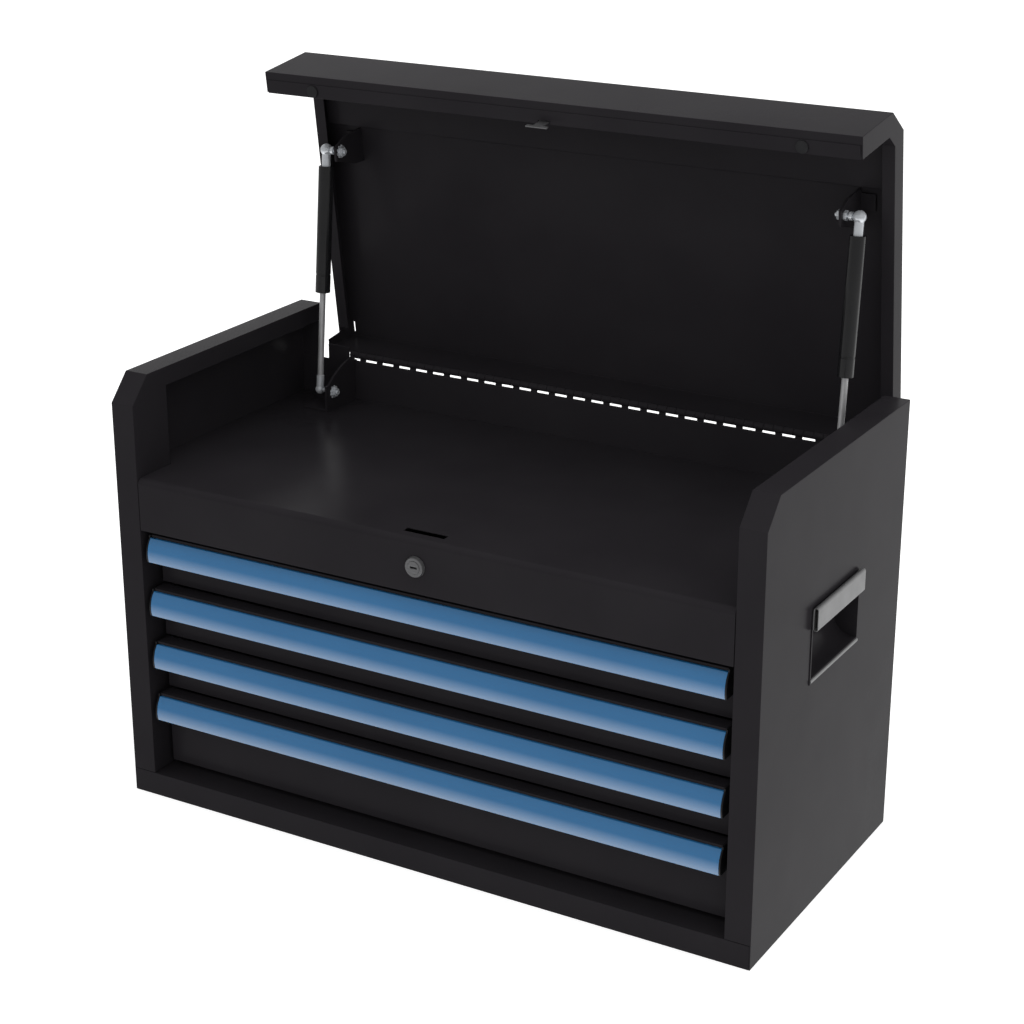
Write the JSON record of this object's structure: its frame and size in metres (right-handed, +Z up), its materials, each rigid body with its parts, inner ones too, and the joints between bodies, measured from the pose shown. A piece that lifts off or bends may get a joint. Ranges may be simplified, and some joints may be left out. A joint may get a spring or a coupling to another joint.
{
  "type": "top tool chest",
  "caption": "Black steel top tool chest: drawers with full-width blue pulls, a tray under a hinged lid on gas struts, a front lock and recessed side handles.",
  "frame": {"origin": "centre of the cabinet's footprint, on the surface it stands on", "axes": "+X to the right seen from the front, +Y to the back, +Z up; drawers open along -Y"},
  "size_m": [0.6716, 0.3588, 0.68],
  "materials": {
    "body_paint": "satin black powder coat",
    "pull_blue": "glossy blue",
    "black_plastic": "moulded black",
    "zinc": "zinc plated",
    "handle_grey": "satin dark grey",
    "lock_steel": "brushed nickel",
    "rubber": "matt",
    "chrome": "polished",
    "strut_black": "gloss black"
  },
  "bodies": {
    "cabinet": {"left_side_panel": "body_paint", "right_side_panel": "body_paint", "back_panel": "body_paint", "base_pan": "body_paint", "deck": "body_paint", "rear_uprights": "zinc", "handle_cups": "body_paint", "handle_grips": "handle_grey", "strut_gussets": "body_paint", "outer_slides": "zinc", "hinge_body_leaf": "body_paint", "hinge_pin": "zinc", "lower_ball_studs": "chrome", "lock_body": "lock_steel", "lock_nut": "zinc", "lock_bar_guides": "zinc"},
    "lid": {"lid_shell": "body_paint", "lid_stiffener": "body_paint", "lid_lip_plate": "body_paint", "lid_striker": "lock_steel", "lid_bumpers": "rubber", "lid_brackets": "body_paint", "upper_stud_nuts": "chrome", "hinge_lid_leaf": "body_paint"},
    "left_strut_lower": {"left_strut_rod": "chrome", "left_strut_socket": "chrome"},
    "left_strut_upper": {"left_strut_tube": "strut_black", "left_strut_end": "chrome", "left_upper_ball": "chrome"},
    "right_strut_lower": {"right_strut_rod": "chrome", "right_strut_socket": "chrome"},
    "right_strut_upper": {"right_strut_tube": "strut_black", "right_strut_end": "chrome", "right_upper_ball": "chrome"},
    "lock_turning": {"lock_plug": "lock_steel", "lock_cam": "zinc", "lock_rod": "zinc"},
    "lock_lift": {"lock_bar": "zinc"},
    "drawer_1": {"drawer_1_box": "body_paint", "drawer_1_pull": "pull_blue", "drawer_1_caps": "black_plastic", "drawer_1_inner_slides": "zinc"},
    "drawer_1_carriage": {"drawer_1_middle_slides": "zinc"},
    "drawer_2": {"drawer_2_box": "body_paint", "drawer_2_pull": "pull_blue", "drawer_2_caps": "black_plastic", "drawer_2_inner_slides": "zinc"},
    "drawer_2_carriage": {"drawer_2_middle_slides": "zinc"},
    "drawer_3": {"drawer_3_box": "body_paint", "drawer_3_pull": "pull_blue", "drawer_3_caps": "black_plastic", "drawer_3_inner_slides": "zinc"},
    "drawer_3_carriage": {"drawer_3_middle_slides": "zinc"},
    "drawer_4": {"drawer_4_box": "body_paint", "drawer_4_pull": "pull_blue", "drawer_4_caps": "black_plastic", "drawer_4_inner_slides": "zinc"},
    "drawer_4_carriage": {"drawer_4_middle_slides": "zinc"}
  },
  "joints": [
    {"name": "lid_hinge", "type": "hinge", "parent": "cabinet", "child": "lid", "pos_m": [0, 0.153, 0.37395], "axis": [1, 0, 0], "range_deg": [0, 82.25], "stiffness_Nm_per_rad": 0.6, "springref_deg": -143.24},
    {"name": "left_strut_swing", "type": "hinge", "parent": "cabinet", "child": "left_strut_lower", "pos_m": [-0.28, 0.11, 0.3469], "axis": [1, 0, 0], "range_deg": [0, 83.82]},
    {"name": "left_strut_stroke", "type": "slide", "parent": "left_strut_lower", "child": "left_strut_upper", "axis": [0, 0.0992, 0.9951], "range_m": [-0.06694, 0]},
    {"name": "right_strut_swing", "type": "hinge", "parent": "cabinet", "child": "right_strut_lower", "pos_m": [0.28, 0.11, 0.3469], "axis": [1, 0, 0], "range_deg": [0, 83.82]},
    {"name": "right_strut_stroke", "type": "slide", "parent": "right_strut_lower", "child": "right_strut_upper", "axis": [0, 0.0992, 0.9951], "range_m": [-0.06694, 0]},
    {"name": "lock_turn", "type": "hinge", "parent": "cabinet", "child": "lock_turning", "pos_m": [0, -0.1525, 0.303], "axis": [0, -1, 0], "range_deg": [0, 90]},
    {"name": "lock_bar_lift", "type": "slide", "parent": "cabinet", "child": "lock_lift", "axis": [0, 0, 1], "range_m": [-0.008, 0]},
    {"name": "drawer_1_slide", "type": "slide", "parent": "cabinet", "child": "drawer_1", "axis": [0, -1, 0], "range_m": [0, 0.24]},
    {"name": "drawer_1_carriage_slide", "type": "slide", "parent": "cabinet", "child": "drawer_1_carriage", "axis": [0, -1, 0], "range_m": [0, 0.1201]},
    {"name": "drawer_2_slide", "type": "slide", "parent": "cabinet", "child": "drawer_2", "axis": [0, -1, 0], "range_m": [0, 0.24]},
    {"name": "drawer_2_carriage_slide", "type": "slide", "parent": "cabinet", "child": "drawer_2_carriage", "axis": [0, -1, 0], "range_m": [0, 0.1201]},
    {"name": "drawer_3_slide", "type": "slide", "parent": "cabinet", "child": "drawer_3", "axis": [0, -1, 0], "range_m": [0, 0.24]},
    {"name": "drawer_3_carriage_slide", "type": "slide", "parent": "cabinet", "child": "drawer_3_carriage", "axis": [0, -1, 0], "range_m": [0, 0.1201]},
    {"name": "drawer_4_slide", "type": "slide", "parent": "cabinet", "child": "drawer_4", "axis": [0, -1, 0], "range_m": [0, 0.24]},
    {"name": "drawer_4_carriage_slide", "type": "slide", "parent": "cabinet", "child": "drawer_4_carriage", "axis": [0, -1, 0], "range_m": [0, 0.1201]}
  ],
  "couplings": [
    {"joint": "left_strut_swing", "follows": "lid_hinge", "ratio": 1.0154},
    {"joint": "left_strut_stroke", "follows": "lid_hinge", "m_per_rad": -0.046432},
    {"joint": "right_strut_swing", "follows": "lid_hinge", "ratio": 1.0154},
    {"joint": "right_strut_stroke", "follows": "lid_hinge", "m_per_rad": -0.046432},
    {"joint": "lock_turn", "follows": "lock_bar_lift", "rad_per_m": -196.34},
    {"joint": "drawer_1_carriage_slide", "follows": "drawer_1_slide", "ratio": 0.5},
    {"joint": "drawer_2_carriage_slide", "follows": "drawer_2_slide", "ratio": 0.5},
    {"joint": "drawer_3_carriage_slide", "follows": "drawer_3_slide", "ratio": 0.5},
    {"joint": "drawer_4_carriage_slide", "follows": "drawer_4_slide", "ratio": 0.5}
  ]
}
